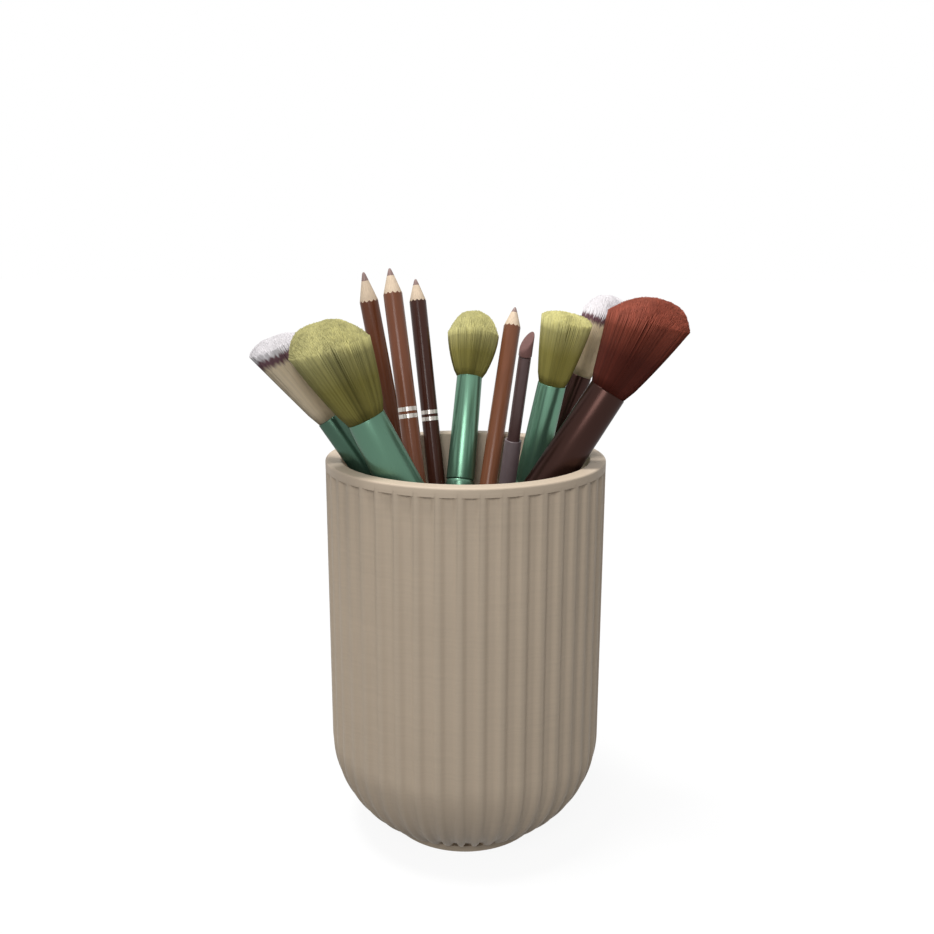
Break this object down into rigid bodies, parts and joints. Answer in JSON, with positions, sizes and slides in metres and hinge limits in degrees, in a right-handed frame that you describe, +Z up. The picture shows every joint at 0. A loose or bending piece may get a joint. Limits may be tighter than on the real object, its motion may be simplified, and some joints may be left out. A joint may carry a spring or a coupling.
{
  "type": "brush holder with drawer",
  "caption": "Round fluted cup with a deep rounded base and a drawer under its raised pocket floor, holding makeup brushes, pencils and a smudger that lift out.",
  "frame": {"origin": "centre of the base, on the surface the cup stands on", "axes": "+Z up; the pictured front faces -Y and the drawer opens towards +Y"},
  "size_m": [0.1535, 0.1179, 0.2168],
  "materials": {
    "printed_plastic": "matte, fine layer lines",
    "green_metal": "satin, green anodised",
    "brown_metal": "satin, dark brown anodised",
    "green_lacquer": "satin lacquer",
    "brown_lacquer": "satin lacquer",
    "olive_hair": "soft hair",
    "cream_hair": "soft hair, dark band below pale tips",
    "red_hair": "soft hair",
    "russet_paint": "gloss paint, bare wood cone",
    "tan_paint": "gloss paint, bare wood cone",
    "dark_paint": "gloss paint, bare wood cone",
    "rust_paint": "gloss paint, bare wood cone",
    "pencil_lead": "waxy",
    "sleeve_plastic": "satin",
    "stem_plastic": "satin",
    "sponge": "matte foam"
  },
  "bodies": {
    "holder": {"cup_body": "printed_plastic"},
    "drawer": {"drawer": "printed_plastic"},
    "stippling_brush": {"stippling_brush_handle": "green_lacquer", "stippling_brush_ferrule": "green_metal", "stippling_brush_bristles": "cream_hair"},
    "powder_brush": {"powder_brush_handle": "green_lacquer", "powder_brush_ferrule": "green_metal", "powder_brush_bristles": "olive_hair"},
    "shadow_brush": {"shadow_brush_handle": "green_lacquer", "shadow_brush_ferrule": "green_metal", "shadow_brush_bristles": "olive_hair"},
    "angled_brush": {"angled_brush_handle": "green_lacquer", "angled_brush_ferrule": "green_metal", "angled_brush_bristles": "olive_hair"},
    "contour_brush": {"contour_brush_handle": "brown_lacquer", "contour_brush_ferrule": "brown_metal", "contour_brush_bristles": "cream_hair"},
    "blush_brush": {"blush_brush_handle": "brown_lacquer", "blush_brush_ferrule": "brown_metal", "blush_brush_bristles": "red_hair"},
    "lip_pencil": {"lip_pencil_casing": "russet_paint", "lip_pencil_lead": "pencil_lead"},
    "brow_pencil": {"brow_pencil_casing": "tan_paint", "brow_pencil_lead": "pencil_lead"},
    "eye_pencil": {"eye_pencil_casing": "dark_paint", "eye_pencil_lead": "pencil_lead"},
    "highlight_pencil": {"highlight_pencil_casing": "rust_paint", "highlight_pencil_lead": "pencil_lead"},
    "smudger": {"smudger_sleeve": "sleeve_plastic", "smudger_stem": "stem_plastic", "smudger_sponge": "sponge"}
  },
  "joints": [
    {"name": "drawer_slide", "type": "slide", "parent": "holder", "child": "drawer", "axis": [0, 1, 0], "range_m": [0, 0.048]},
    {"name": "stippling_brush_lift", "type": "slide", "parent": "holder", "child": "stippling_brush", "axis": [-0.5613, -0.0039, 0.8276], "range_m": [0, 0.125]},
    {"name": "powder_brush_lift", "type": "slide", "parent": "holder", "child": "powder_brush", "axis": [-0.44, -0.0169, 0.8979], "range_m": [0, 0.115]},
    {"name": "shadow_brush_lift", "type": "slide", "parent": "holder", "child": "shadow_brush", "axis": [0.0852, 0.3571, 0.9302], "range_m": [0, 0.112]},
    {"name": "angled_brush_lift", "type": "slide", "parent": "holder", "child": "angled_brush", "axis": [0.1986, -0.0777, 0.977], "range_m": [0, 0.107]},
    {"name": "contour_brush_lift", "type": "slide", "parent": "holder", "child": "contour_brush", "axis": [0.3286, -0.0555, 0.9428], "range_m": [0, 0.11]},
    {"name": "blush_brush_lift", "type": "slide", "parent": "holder", "child": "blush_brush", "axis": [0.5296, 0.0155, 0.8481], "range_m": [0, 0.122]},
    {"name": "lip_pencil_lift", "type": "slide", "parent": "holder", "child": "lip_pencil", "axis": [-0.1716, -0.023, 0.9849], "range_m": [0, 0.105]},
    {"name": "brow_pencil_lift", "type": "slide", "parent": "holder", "child": "brow_pencil", "axis": [-0.1276, 0.1833, 0.9747], "range_m": [0, 0.106]},
    {"name": "eye_pencil_lift", "type": "slide", "parent": "holder", "child": "eye_pencil", "axis": [-0.1064, 0.1904, 0.9759], "range_m": [0, 0.106]},
    {"name": "highlight_pencil_lift", "type": "slide", "parent": "holder", "child": "highlight_pencil", "axis": [0.1497, 0.3073, 0.9398], "range_m": [0, 0.11]},
    {"name": "smudger_lift", "type": "slide", "parent": "holder", "child": "smudger", "axis": [0.1129, -0.135, 0.9844], "range_m": [0, 0.105]}
  ]
}
